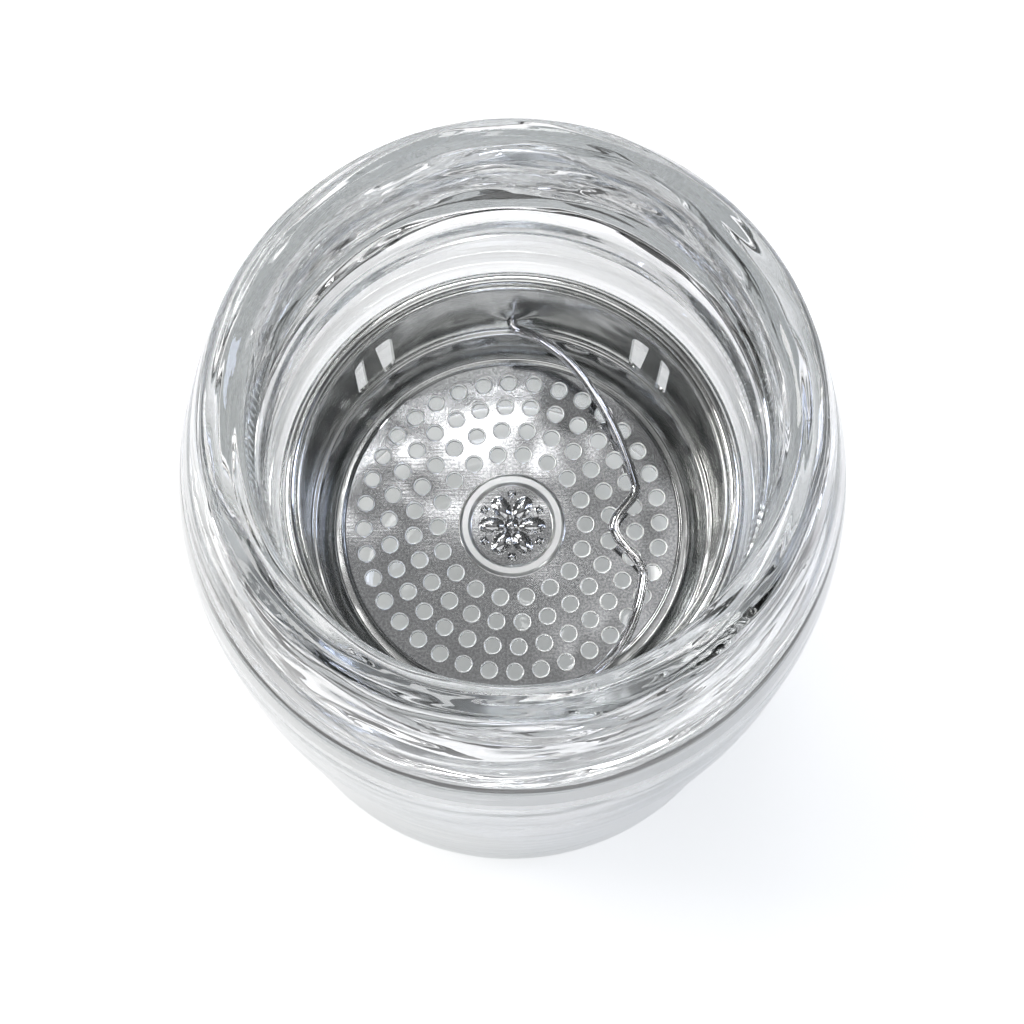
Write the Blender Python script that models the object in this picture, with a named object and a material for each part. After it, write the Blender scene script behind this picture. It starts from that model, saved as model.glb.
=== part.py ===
"""A double-walled glass tea bottle with a lift-out steel strainer and its wire bail.

The glass stands on the ground plane with its axis on Z. Sizes are in millimetres.
"""

import math

import bmesh
import bpy
import numpy as np
from mathutils import Matrix, Vector
from mathutils.geometry import interpolate_bezier

MM = 0.001

# Running sizes of the glass
total_height = 111.9
belly_radius = 37.75
belly_height = 65.8
foot_radius = 35.4
foot_edge_radius = 1.3
foot_recess_depth = 1.2
foot_ring_width = 6.5
mouth_taper = 0.7
lip_radius = 2.5
lip_outer_angle = 13.0
dome_pull_at_lip = 0.58
dome_pull_at_belly = 0.42
body_pull_at_belly = 0.20
body_waist_share = 0.35
seam_height = 88.5
shell_wall = 2.2
shell_floor = 5.0
shell_corner_radius = 7.0
liner_wall = 2.0
liner_floor = 2.5
liner_floor_clearance = 4.8
liner_corner_radius = 9.0
collar_arch_rise = 2.4

# Running sizes of the strainer
disc_height = 60.0
sheet = 0.5
cup_inner_radius = 24.2
cup_rim_height = 17.35
bead_radius = 0.8
bead_lead = 0.02
step_height = 2.4
step_width = 0.65
sheet_bend = 0.4
band_foot_radius = 21.6
flange_width = 2.4
disc_skirt_height = 1.2
groove_width = 0.8
disc_edge_bend = 0.6

# Perforations, in rings about the medallion
hole_radius = 0.9
hole_sides = 8
ring_spacing = 3.0
first_ring_radius = 9.0
first_ring_holes = 18
ring_hole_step = 6
ring_phases = (1.0, 6.0, -2.9, 1.2)

# Medallion
medallion_ridge_radius = 6.1
medallion_ridge_half_width = 0.75
medallion_ridge_height = 0.75
petal_count = 8
petal_length = 3.0
petal_width = 1.3
petal_height = 0.45
button_radius = 0.85

# Spring tabs, cut out of the wall and bent outwards
tab_angle_from_handle = 43.0
window_width = 5.3
window_height = 11.0
window_sill = 0.9
tab_foot_width = 2.9
tab_tip_width = 2.3
tab_top_slit = 0.5
tab_sheet = 0.4
tab_set_in = 0.03
tab_lean = 0.66

# Wire bail and its two pivots in dimples of the wall
wire_radius = 0.5
pivot_height = 8.0
bail_reach = 17.4
bail_half_span = 22.4
bail_front_fullness = 0.16
bail_bend_radius = 1.0
bail_bow_end_angle = 70.0
thumb_dent_depth = 4.0
thumb_dent_half_width = 5.6
thumb_dent_place = -0.8
dimple_depth = 0.6
dimple_base_radius = 3.3
dimple_top_radius = 1.9
recess_mouth_radius = 2.6
recess_floor_radius = 1.55
head_radius = 1.0
head_length = 0.6

# Clearances
fit = 0.3
rim_play = 0.4
wall_play = 1.0
wire_play = 0.3

segments = 48

# Sizes worked out from the ones above
cup_outer_radius = cup_inner_radius + sheet
bead_centre_radius = cup_outer_radius + bead_radius
bead_centre_height = disc_height + cup_rim_height
rim_outer_radius = bead_centre_radius + bead_radius
seat_radius = rim_outer_radius + rim_play
mouth_radius = seat_radius + mouth_taper
bore_radius = cup_outer_radius + wall_play
lip_centre_radius = mouth_radius + lip_radius
lip_centre_height = total_height - lip_radius
flange_top = disc_height - disc_skirt_height - fit
disc_radius = band_foot_radius - groove_width
liner_underside = foot_recess_depth + shell_floor + liner_floor_clearance
liner_inside_floor = liner_underside + liner_floor
window_bottom = disc_height + step_height + window_sill
window_top = window_bottom + window_height
bail_pivot_height = disc_height + pivot_height


def clear_scene():
    for item in list(bpy.data.objects):
        bpy.data.objects.remove(item, do_unlink=True)


def make_material(name, colour, roughness, metallic=0.0, transmission=0.0):
    material = bpy.data.materials.new(name)
    material.use_nodes = True
    shader = material.node_tree.nodes["Principled BSDF"]
    shader.inputs["Base Color"].default_value = (*colour, 1.0)
    shader.inputs["Roughness"].default_value = roughness
    shader.inputs["Metallic"].default_value = metallic
    shader.inputs["Transmission Weight"].default_value = transmission
    return material


def link_mesh(name, mesh_data, material, sharp_angle=35.0):
    item = bpy.data.objects.new(name, mesh_data)
    bpy.context.scene.collection.objects.link(item)
    if material:
        mesh_data.materials.append(material)
    mesh_data.shade_smooth()
    mesh_data.set_sharp_from_angle(angle=math.radians(sharp_angle))
    return item


def arc(centre_radius, centre_height, radius, start, end, steps):
    """Points (radius, height) of a circular arc; angles in degrees from outwards."""
    angles = np.radians(np.linspace(start, end, steps + 1))
    return [
        (centre_radius + radius * math.cos(a), centre_height + radius * math.sin(a))
        for a in angles
    ]


def bezier(start, start_handle, end_handle, end, count):
    corners = [Vector((*p, 0.0)) for p in (start, start_handle, end_handle, end)]
    return [(p.x, p.y) for p in interpolate_bezier(*corners, count)]


def turn(name, outline, material, closed=False):
    """Spin an outline of (radius, height) points about Z into one closed body."""
    shape = bmesh.new()
    points = [shape.verts.new((r * MM, 0.0, z * MM)) for r, z in outline]
    pairs = list(zip(points, points[1:]))
    if closed:
        pairs.append((points[-1], points[0]))
    edges = [shape.edges.new(pair) for pair in pairs]
    bmesh.ops.spin(
        shape,
        geom=points + edges,
        cent=(0.0, 0.0, 0.0),
        axis=(0.0, 0.0, 1.0),
        angle=math.tau,
        steps=segments,
        use_merge=True,
    )
    bmesh.ops.remove_doubles(shape, verts=shape.verts, dist=0.001 * MM)
    bmesh.ops.recalc_face_normals(shape, faces=shape.faces)
    mesh_data = bpy.data.meshes.new(name)
    shape.to_mesh(mesh_data)
    shape.free()
    return link_mesh(name, mesh_data, material)


def stack(shape, sections):
    """Skin a list of equal rings of points into one closed body."""
    rings = [[shape.verts.new(Vector(p) * MM) for p in section] for section in sections]
    count = len(rings[0])
    for lower, upper in zip(rings, rings[1:]):
        for i in range(count):
            j = (i + 1) % count
            shape.faces.new((lower[i], lower[j], upper[j], upper[i]))
    shape.faces.new(rings[0][::-1])
    shape.faces.new(rings[-1])


def build_tool(name, fill):
    """A helper solid for a Boolean, kept out of the render and the finished part."""
    shape = bmesh.new()
    fill(shape)
    bmesh.ops.recalc_face_normals(shape, faces=shape.faces)
    mesh_data = bpy.data.meshes.new(name)
    shape.to_mesh(mesh_data)
    shape.free()
    tool = bpy.data.objects.new(name, mesh_data)
    bpy.context.scene.collection.objects.link(tool)
    tool.hide_render = True
    tool.display_type = "WIRE"
    return tool


def combine(item, tool, operation):
    step = item.modifiers.new(tool.name, "BOOLEAN")
    step.operation = operation
    step.solver = "EXACT"
    step.object = tool


def place_on(item, parent):
    item.parent = parent
    item.matrix_parent_inverse = parent.matrix_world.inverted()


def make_empty(name, location):
    item = bpy.data.objects.new(name, None)
    bpy.context.scene.collection.objects.link(item)
    item.location = Vector(location) * MM
    return item


def glass_outline():
    """Outside of the glass from the lip down to the foot, as dense points."""
    angle = math.radians(lip_outer_angle)
    lip_point = (
        lip_centre_radius + lip_radius * math.cos(angle),
        lip_centre_height + lip_radius * math.sin(angle),
    )
    dome = lip_point[1] - belly_height
    along = (math.sin(angle), -math.cos(angle))
    lip_pull = dome * dome_pull_at_lip
    upper = bezier(
        lip_point,
        (lip_point[0] + along[0] * lip_pull, lip_point[1] + along[1] * lip_pull),
        (belly_radius, belly_height + dome * dome_pull_at_belly),
        (belly_radius, belly_height),
        60,
    )
    rise = belly_height - foot_edge_radius
    waist_radius = foot_radius + (belly_radius - foot_radius) * body_waist_share
    lower = bezier(
        (belly_radius, belly_height),
        (belly_radius, belly_height - rise * body_pull_at_belly),
        (waist_radius, foot_edge_radius + rise * 0.5),
        (foot_radius, foot_edge_radius),
        60,
    )
    return upper + lower[1:]


def outer_radius(height):
    points = glass_outline()[::-1]
    radii = [p[0] for p in points]
    heights = [p[1] for p in points]
    return float(np.interp(height, heights, radii))


def outer_wall(top, bottom, count):
    """Stations on the outside of the glass, closer together where it curves."""
    spread = np.linspace(0.0, 1.0, count) ** 1.25
    return [(outer_radius(z), float(z)) for z in top + (bottom - top) * spread]


def make_shell(material):
    top = seam_height - fit
    foot_inner = foot_radius - foot_edge_radius - foot_ring_width
    floor_top = foot_recess_depth + shell_floor
    outside = outer_wall(top, foot_edge_radius, 9)
    inside = [(r - shell_wall, z) for r, z in outside]
    corner_height = floor_top + shell_corner_radius
    inside = [p for p in inside if p[1] > corner_height + 1.0]
    wall_at_corner = outer_radius(corner_height) - shell_wall
    corner = arc(
        wall_at_corner - shell_corner_radius,
        corner_height,
        shell_corner_radius,
        0.0,
        -90.0,
        4,
    )
    edge = arc(foot_radius - foot_edge_radius, foot_edge_radius, foot_edge_radius, 0.0, -90.0, 3)
    outline = [(0.0, floor_top)]
    outline += corner[::-1]
    outline += inside[::-1]
    outline += outside[:-1]
    outline += edge
    outline += [(foot_inner, 0.0), (foot_inner - foot_recess_depth, foot_recess_depth)]
    outline += [(0.0, foot_recess_depth)]
    return turn("glass_shell", outline, material)


def make_liner(material):
    """The inner cup, its strainer seat and the thick mouth collar, in one body."""
    slant = math.radians(45.0)
    seat_gap = bead_radius + fit
    seat_point = (
        bead_centre_radius + seat_gap * math.sin(slant),
        bead_centre_height - seat_gap * math.cos(slant),
    )
    seat_foot = (bore_radius, seat_point[1] - (seat_point[0] - bore_radius))
    seat_top = (seat_radius, seat_point[1] + (seat_radius - seat_point[0]))
    floor_corner = arc(
        bore_radius - liner_corner_radius,
        liner_inside_floor + liner_corner_radius,
        liner_corner_radius,
        -90.0,
        0.0,
        4,
    )
    outer_corner_radius = liner_corner_radius + liner_wall
    under_corner = arc(
        bore_radius + liner_wall - outer_corner_radius,
        liner_underside + outer_corner_radius,
        outer_corner_radius,
        0.0,
        -90.0,
        4,
    )
    lip = arc(lip_centre_radius, lip_centre_height, lip_radius, 180.0, lip_outer_angle, 7)
    collar = outer_wall(lip[-1][1], seam_height, 8)[1:]
    ceiling_outer = outer_radius(seam_height) - shell_wall
    ceiling_inner = mouth_radius + liner_wall
    middle = (ceiling_outer + ceiling_inner) / 2
    half = (ceiling_outer - ceiling_inner) / 2
    arch = [
        (middle + half * math.cos(a), seam_height + collar_arch_rise * math.sin(a))
        for a in np.radians(np.linspace(0.0, 180.0, 7))
    ]
    outline = [(0.0, liner_inside_floor)]
    outline += floor_corner
    outline += [seat_foot, seat_top, (mouth_radius, seam_height)]
    outline += lip
    outline += collar
    outline += arch
    outline += [(seat_radius + liner_wall, seat_top[1]), (bore_radius + liner_wall, seat_foot[1])]
    outline += under_corner
    outline += [(0.0, liner_underside)]
    return turn("glass_liner", outline, material)


def cup_outline():
    """The drawn sheet wall: flange, groove, slanted band, step, wall and rolled rim."""
    floor = flange_top
    under = floor - sheet
    step_top = disc_height + step_height
    step_edge = cup_inner_radius - step_width
    flange_inner = band_foot_radius - flange_width
    bend = sheet_bend
    top_side = [
        (flange_inner, floor),
        (band_foot_radius - bend, floor),
        (band_foot_radius + bend * 0.4, floor + bend * 0.7),
        (step_edge - bend * 0.4, step_top - bend),
        (step_edge + bend * 0.2, step_top - bend * 0.3),
        (cup_inner_radius - bend * 0.3, step_top),
        (cup_inner_radius, step_top + bend),
    ]
    crease = [
        (cup_inner_radius, bead_centre_height),
        (cup_inner_radius + sheet * 0.5, bead_centre_height + bead_radius * 0.55),
        (cup_outer_radius + bead_lead, bead_centre_height + bead_radius * 0.3),
    ]
    bead = arc(bead_centre_radius, bead_centre_height, bead_radius, 150.0, -140.0, 9)
    below = [
        (cup_outer_radius, bead_centre_height - bead_radius * 0.9),
        (cup_outer_radius, step_top),
        (cup_outer_radius - sheet * 0.5, step_top - sheet),
        (step_edge + sheet * 0.9, step_top - sheet - bend * 0.4),
        (band_foot_radius + sheet * 1.1, floor + bend * 0.2),
        (band_foot_radius + bend * 0.3, under),
        (flange_inner, under),
    ]
    return top_side + crease + bead + below


def fill_windows(shape):
    reach = 6.0
    for angle in tab_angles():
        turned = Matrix.Rotation(math.radians(angle), 3, "Z")
        half = window_width / 2
        corners = [
            (cup_inner_radius - reach / 2, -half),
            (cup_inner_radius + reach / 2, -half),
            (cup_inner_radius + reach / 2, half),
            (cup_inner_radius - reach / 2, half),
        ]
        stack(
            shape,
            [[turned @ Vector((x, y, z)) for x, y in corners] for z in (window_bottom, window_top)],
        )


def tab_angles():
    away = tab_angle_from_handle
    return (90.0 - away, 90.0 + away, 270.0 - away, 270.0 + away)


def fill_tabs(shape):
    """Four tongues, each rooted in the wall below its window and leaning outwards."""
    root = window_bottom - window_sill * 0.7
    tip = window_top - tab_top_slit
    middle = cup_inner_radius + sheet / 2 - tab_set_in
    stations = [root, window_bottom] + list(np.linspace(window_bottom, tip, 6)[1:])
    for angle in tab_angles():
        turned = Matrix.Rotation(math.radians(angle), 3, "Z")
        sections = []
        for z in stations:
            share = max(0.0, (z - window_bottom) / (tip - window_bottom))
            lean = tab_lean * math.sin(share * math.pi / 2)
            half = (tab_foot_width + (tab_tip_width - tab_foot_width) * share) / 2
            inner = middle - tab_sheet / 2 + lean
            outer = middle + tab_sheet / 2 + lean
            corners = [(inner, -half), (outer, -half), (outer, half), (inner, half)]
            sections.append([turned @ Vector((x, y, z)) for x, y in corners])
        stack(shape, sections)


def ring_along_y(radius, y, count=16):
    return [
        (radius * math.cos(a), y, bail_pivot_height + radius * math.sin(a))
        for a in np.linspace(0.0, math.tau, count, endpoint=False)
    ]


def fill_dimples(shape):
    start = cup_inner_radius + sheet * 0.2
    face = cup_inner_radius - dimple_depth
    for side in (1.0, -1.0):
        stack(
            shape,
            [ring_along_y(dimple_base_radius, side * start), ring_along_y(dimple_top_radius, side * face)],
        )


def fill_recesses(shape):
    floor = cup_outer_radius - dimple_depth
    slope = (recess_mouth_radius - recess_floor_radius) / dimple_depth
    beyond = 1.0
    for side in (1.0, -1.0):
        stack(
            shape,
            [
                ring_along_y(recess_floor_radius, side * floor),
                ring_along_y(
                    recess_mouth_radius + slope * beyond, side * (cup_outer_radius + beyond)
                ),
            ],
        )


def fill_pivot_holes(shape):
    radius = wire_radius + wire_play
    for side in (1.0, -1.0):
        stack(
            shape,
            [
                ring_along_y(radius, side * (cup_inner_radius - dimple_depth - 1.0), 12),
                ring_along_y(radius, side * (cup_outer_radius + 1.0), 12),
            ],
        )


def make_cup(material):
    cup = turn("strainer_cup", cup_outline(), material, closed=True)
    combine(cup, build_tool("tab_windows", fill_windows), "DIFFERENCE")
    combine(cup, build_tool("spring_tabs", fill_tabs), "UNION")
    combine(cup, build_tool("pivot_dimples", fill_dimples), "UNION")
    combine(cup, build_tool("pivot_recesses", fill_recesses), "DIFFERENCE")
    combine(cup, build_tool("pivot_holes", fill_pivot_holes), "DIFFERENCE")
    return cup


def ridge(lift, count=6):
    """The round bead of the medallion, raised by lift above a sheet's face."""
    inner = medallion_ridge_radius - medallion_ridge_half_width
    return [
        (
            inner + 2 * medallion_ridge_half_width * share,
            lift + medallion_ridge_height * math.sin(math.pi * share),
        )
        for share in np.linspace(0.0, 1.0, count + 1)
    ]


def disc_outline():
    top = disc_height
    under = disc_height - sheet
    foot = disc_height - disc_skirt_height
    bend = disc_edge_bend
    edge = arc(disc_radius - bend, top - bend, bend, 90.0, 0.0, 3)
    outline = [(0.0, top)]
    outline += ridge(top)
    outline += edge
    outline += [(disc_radius, foot), (disc_radius - sheet, foot), (disc_radius - sheet, under)]
    outline += ridge(under)[::-1]
    outline += [(0.0, under)]
    return outline


def fill_perforations(shape):
    for ring, phase in enumerate(ring_phases):
        radius = first_ring_radius + ring * ring_spacing
        count = first_ring_holes + ring * ring_hole_step
        for i in range(count):
            angle = math.radians(phase) + math.tau * i / count
            x = radius * math.cos(angle)
            y = radius * math.sin(angle)
            circle = [
                (x + hole_radius * math.cos(a), y + hole_radius * math.sin(a))
                for a in angle + np.linspace(0.0, math.tau, hole_sides, endpoint=False)
            ]
            heights = (disc_height - 2 * sheet, disc_height + sheet)
            stack(shape, [[(px, py, z) for px, py in circle] for z in heights])


def fill_ornament(shape):
    """Low petals about a round button, standing in the medallion's field."""
    sunk = sheet * 0.5
    levels = ((1.0, -sunk), (0.94, petal_height * 0.45), (0.62, petal_height))
    inner_field = medallion_ridge_radius - medallion_ridge_half_width
    centre = (button_radius + inner_field) / 2
    for i in range(petal_count):
        angle = math.tau * i / petal_count
        sections = []
        for scale, z in levels:
            ring = []
            for a in np.linspace(0.0, math.tau, 10, endpoint=False):
                along = centre + scale * petal_length / 2 * math.cos(a)
                across = scale * petal_width / 2 * math.sin(a)
                ring.append(
                    (
                        along * math.cos(angle) - across * math.sin(angle),
                        along * math.sin(angle) + across * math.cos(angle),
                        disc_height + z,
                    )
                )
            sections.append(ring)
        stack(shape, sections)
    button = []
    for scale, z in levels:
        button.append(
            [
                (scale * button_radius * math.cos(a), scale * button_radius * math.sin(a), disc_height + z)
                for a in np.linspace(0.0, math.tau, 10, endpoint=False)
            ]
        )
    stack(shape, button)


def make_disc(material):
    disc = turn("strainer_disc", disc_outline(), material)
    combine(disc, build_tool("ornament", fill_ornament), "UNION")
    combine(disc, build_tool("perforations", fill_perforations), "DIFFERENCE")
    return disc


def bail_reach_at(y):
    """How far the wire stands from its pivot line at a place y along that line."""
    share = y / bail_half_span
    reach = bail_reach * math.sqrt(max(0.0, 1.0 - share ** 2)) * (1.0 - bail_front_fullness * share)
    away = (y - thumb_dent_place) / thumb_dent_half_width
    if abs(away) < 1.0:
        reach -= thumb_dent_depth * (0.5 + 0.5 * math.cos(math.pi * away))
    return reach


def bail_path():
    """Flat path (reach, y, wire width factor) from one riveted end to the other."""
    head_inner = cup_outer_radius - dimple_depth + fit
    head_outer = head_inner + head_length
    head = head_radius / wire_radius
    stub = [(0.0, head_outer, head), (0.0, head_inner, head), (0.0, head_inner - 0.04, 1.0)]
    bend = bail_bend_radius
    for a in np.radians(np.linspace(180.0, 270.0, 4)):
        stub.append((bend + bend * math.cos(a), bail_half_span + bend + bend * math.sin(a), 1.0))
    start = math.asin(bend / bail_reach)
    bow_angles = np.linspace(start, math.radians(bail_bow_end_angle), 14)[1:]
    bow = [bail_half_span * math.cos(a) for a in bow_angles]
    dented = [float(y) for y in np.linspace(bow[-1], -bow[-1], 23)[1:-1]]
    places = bow + dented + [-y for y in bow[::-1]]
    return stub + [(bail_reach_at(y), y, 1.0) for y in places] + [(s, -y, w) for s, y, w in stub[::-1]]


def bail_fold_angle(path):
    """Angle below level at which the wire lies just clear of the disc."""
    furthest = max(point[0] for point in path)
    drop = pivot_height - wire_radius - fit
    return math.asin(drop / furthest)


def make_bail(material, pivot):
    path = bail_path()
    fold = bail_fold_angle(path)
    curve = bpy.data.curves.new("bail_handle", "CURVE")
    curve.dimensions = "3D"
    curve.bevel_depth = wire_radius * MM
    curve.bevel_resolution = 2
    curve.use_fill_caps = True
    spline = curve.splines.new("POLY")
    spline.points.add(len(path) - 1)
    for point, (reach, y, width) in zip(spline.points, path):
        place = Vector((reach * math.cos(fold), y, -reach * math.sin(fold))) * MM
        point.co = (*place, 1.0)
        point.radius = width
    curve.materials.append(material)
    bail = bpy.data.objects.new("bail_handle", curve)
    bpy.context.scene.collection.objects.link(bail)
    bail.parent = pivot
    print("bail folds below level by", round(math.degrees(fold), 3), "degrees")
    return bail


def main():
    clear_scene()
    clear_glass = make_material("clear_glass", (0.93, 0.96, 0.96), 0.02, transmission=1.0)
    liner_glass = make_material("liner_glass", (0.95, 0.97, 0.97), 0.02, transmission=1.0)
    drawn_steel = make_material("drawn_steel", (0.62, 0.62, 0.63), 0.25, metallic=1.0)
    brushed_steel = make_material("brushed_steel", (0.55, 0.55, 0.56), 0.38, metallic=1.0)
    bright_wire = make_material("bright_wire", (0.72, 0.72, 0.73), 0.14, metallic=1.0)
    make_shell(clear_glass)
    make_liner(liner_glass)
    strainer = make_empty("strainer_axis", (0.0, 0.0, disc_height))
    pivot = make_empty("bail_pivot", (0.0, 0.0, bail_pivot_height))
    bpy.context.view_layer.update()
    place_on(make_cup(drawn_steel), strainer)
    place_on(make_disc(brushed_steel), strainer)
    place_on(pivot, strainer)
    make_bail(bright_wire, pivot)


main()
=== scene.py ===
import math
import random

import bmesh
import bpy
from mathutils import Matrix, Vector
from mathutils.geometry import interpolate_bezier


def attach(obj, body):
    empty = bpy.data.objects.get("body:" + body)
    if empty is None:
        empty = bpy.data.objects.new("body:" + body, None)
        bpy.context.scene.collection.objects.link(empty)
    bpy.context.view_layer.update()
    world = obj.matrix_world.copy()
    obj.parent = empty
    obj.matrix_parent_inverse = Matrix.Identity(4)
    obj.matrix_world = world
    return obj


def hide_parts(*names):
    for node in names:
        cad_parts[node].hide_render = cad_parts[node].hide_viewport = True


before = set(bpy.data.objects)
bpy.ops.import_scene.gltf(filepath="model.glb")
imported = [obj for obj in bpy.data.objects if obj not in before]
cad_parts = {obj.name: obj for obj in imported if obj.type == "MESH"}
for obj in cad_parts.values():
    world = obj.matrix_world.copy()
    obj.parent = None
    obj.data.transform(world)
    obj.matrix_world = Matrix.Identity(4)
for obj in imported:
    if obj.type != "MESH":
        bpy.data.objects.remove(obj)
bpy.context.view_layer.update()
print("frame loaded:", sorted(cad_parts))

# Lengths below are in millimetres and angles in degrees; mm() turns a length to metres.


def mm(value):
    return value * 0.001


def perMetre(pitch):
    # how often a pattern of this pitch repeats in a metre
    return 1000 / pitch


def hexColour(text):
    # an sRGB hex value to the linear colour that the shader sockets take
    channels = [int(text[i:i + 2], 16) / 255 for i in (1, 3, 5)]
    linear = [c / 12.92 if c <= 0.04045 else ((c + 0.055) / 1.055) ** 2.4 for c in channels]
    return (*linear, 1.0)


def addNode(material, kind, settings=None, links=None):
    # one node, its socket values or properties, and what feeds its sockets
    node = material.node_tree.nodes.new(kind)
    for key, value in (settings or {}).items():
        if isinstance(key, int) or key in node.inputs:
            node.inputs[key].default_value = value
        else:
            setattr(node, key, value)
    for key, source in (links or {}).items():
        material.node_tree.links.new(source, node.inputs[key])
    return node


def emptyMaterial(name):
    material = bpy.data.materials.new(name)
    material.use_nodes = True
    material.node_tree.nodes.clear()
    return material


def axisParts(material, place):
    # how high a point lies, which way from the axis, and how far from it
    split = addNode(material, "ShaderNodeSeparateXYZ", {}, {0: place})
    flat = addNode(material, "ShaderNodeCombineXYZ", {}, {"X": split.outputs["X"], "Y": split.outputs["Y"]})
    spoke = addNode(material, "ShaderNodeVectorMath", {"operation": "NORMALIZE"}, {0: flat.outputs[0]})
    radius = addNode(material, "ShaderNodeVectorMath", {"operation": "LENGTH"}, {0: flat.outputs[0]})
    return split.outputs["Z"], spoke.outputs[0], radius.outputs["Value"]


def ringSpot(material, spoke, height, turns, pitch):
    # a pattern read here lies in rings: slow round the axis and quick up it
    turned = addNode(material, "ShaderNodeVectorMath", {"operation": "SCALE", "Scale": turns}, {0: spoke})
    up = addNode(material, "ShaderNodeMath", {"operation": "MULTIPLY", 1: perMetre(pitch)}, {0: height})
    lift = addNode(material, "ShaderNodeCombineXYZ", {}, {"Z": up.outputs[0]})
    return addNode(material, "ShaderNodeVectorMath", {"operation": "ADD"}, {
        0: turned.outputs[0], 1: lift.outputs[0],
    }).outputs[0]


def maskWhere(material, tests):
    # 1 where every test against its limit in mm holds, and 0 elsewhere
    mask = None
    for operation, limit, source in tests:
        test = addNode(material, "ShaderNodeMath", {"operation": operation, 1: mm(limit)}, {0: source})
        if mask:
            both = {0: mask, 1: test.outputs[0]}
            test = addNode(material, "ShaderNodeMath", {"operation": "MULTIPLY"}, both)
        mask = test.outputs[0]
    return mask


# Modelling helpers

# points nearer than this are merged
weld = {"axis": 0.01, "lathe": 0.005, "plate": 0.004, "medallion": 0.002}
levelNormal = 0.9999  # a face whose normal stands this straight is level
roundingTurn = 15  # how far one short edge of a rounding turns


def deselectAll():
    if bpy.context.mode != "OBJECT":
        bpy.ops.object.mode_set(mode="OBJECT")
    bpy.ops.object.select_all(action="DESELECT")


def pick(piece):
    deselectAll()
    piece.select_set(True)
    bpy.context.view_layer.objects.active = piece


def cleanMesh(piece, near=0.0, inwards=False):
    # merges points that are nearer than that and turns every face the same way
    pick(piece)
    bpy.ops.object.mode_set(mode="EDIT")
    bpy.ops.mesh.select_all(action="SELECT")
    if near:
        bpy.ops.mesh.remove_doubles(threshold=mm(near))
    bpy.ops.mesh.normals_make_consistent(inside=inwards)
    bpy.ops.object.mode_set(mode="OBJECT")


def arcPoints(centreRadius, centreHeight, radius, start, end, steps):
    # angles are counted from straight outwards, anticlockwise
    angles = [math.radians(start + (end - start) * i / steps) for i in range(steps + 1)]
    return [(centreRadius + radius * math.cos(a), centreHeight + radius * math.sin(a)) for a in angles]


def bezierPoints(start, startPull, endPull, end, count):
    corners = [Vector((*p, 0.0)) for p in (start, startPull, endPull, end)]
    return [(p.x, p.y) for p in interpolate_bezier(*corners, count)]


def splitLine(start, end, longest):
    count = max(1, math.ceil(math.dist(start, end) / longest))
    return [tuple(a + (b - a) * i / count for a, b in zip(start, end)) for i in range(1, count + 1)]


def roundedOutline(corners, longest, closed=True):
    # corners are (radius, height, rounding); straight stretches are cut to pieces no longer than longest
    points = []
    count = len(corners)
    for i, (x, y, rounding) in enumerate(corners):
        here = Vector((x, y))
        if rounding == 0 or (not closed and i in (0, count - 1)):
            points.append((x, y))
            continue
        before = (Vector(corners[i - 1][:2]) - here).normalized()
        after = (Vector(corners[(i + 1) % count][:2]) - here).normalized()
        half = before.angle(after) / 2
        back = rounding / math.tan(half)
        middle = here + (before + after).normalized() * (rounding / math.sin(half))
        first = here + before * back - middle
        turn = first.angle_signed(here + after * back - middle)
        steps = max(2, math.ceil(abs(math.degrees(turn)) / roundingTurn))
        for step in range(steps + 1):
            angle = -turn * step / steps
            spoke = Matrix.Rotation(angle, 2) @ first
            points.append(tuple(middle + spoke))
    dense = [points[0]]
    for point in points[1:] + ([points[0]] if closed else []):
        dense += splitLine(dense[-1], point, longest)
    return dense[:-1] if closed else dense


def turnOutline(name, outline, steps, closed=False, inwards=False):
    # a lathe: the outline is drawn as a curve, made a mesh and turned once round Z
    deselectAll()
    bpy.ops.curve.primitive_bezier_curve_add(location=(0, 0, 0))
    piece = bpy.context.object
    piece.name = piece.data.name = name
    piece.data.splines.clear()
    spline = piece.data.splines.new("POLY")
    spline.points.add(len(outline) - 1)
    for point, (radius, height) in zip(spline.points, outline):
        point.co = (mm(radius), 0.0, mm(height), 1.0)
    spline.use_cyclic_u = closed
    bpy.ops.object.convert(target="MESH")
    piece = bpy.context.object
    turn = piece.modifiers.new("turn", "SCREW")
    turn.steps = turn.render_steps = steps
    turn.use_merge_vertices = True
    turn.merge_threshold = mm(weld["axis"])
    bpy.ops.object.modifier_apply(modifier=turn.name)
    cleanMesh(piece, weld["lathe"], inwards)
    return piece


def joinPieces(first, others):
    deselectAll()
    for piece in [first, *others]:
        piece.select_set(True)
    bpy.context.view_layer.objects.active = first
    bpy.ops.object.join()
    return first


def cutAway(piece, cutter, operation="DIFFERENCE"):
    pick(piece)
    step = piece.modifiers.new("cut", "BOOLEAN")
    step.object = cutter
    step.operation = operation
    step.solver = "EXACT"
    bpy.ops.object.modifier_apply(modifier=step.name)
    bpy.data.objects.remove(cutter, do_unlink=True)


def smoothPiece(piece, angle, keepFlats=False):
    pick(piece)
    bpy.ops.object.shade_smooth_by_angle(angle=math.radians(angle))
    if keepFlats:
        # the level sheet stays flat, and only the rounded edges are shaded smooth
        for face in piece.data.polygons:
            face.use_smooth = face.use_smooth and abs(face.normal.z) < levelNormal


def finishPiece(piece, material, body, nodes):
    piece.data.materials.clear()
    piece.data.materials.append(material)
    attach(piece, body)
    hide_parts(*nodes)
    triangles = sum(len(p.vertices) - 2 for p in piece.data.polygons)
    print("made", piece.name, "with", triangles, "triangles")


# Materials

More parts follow.
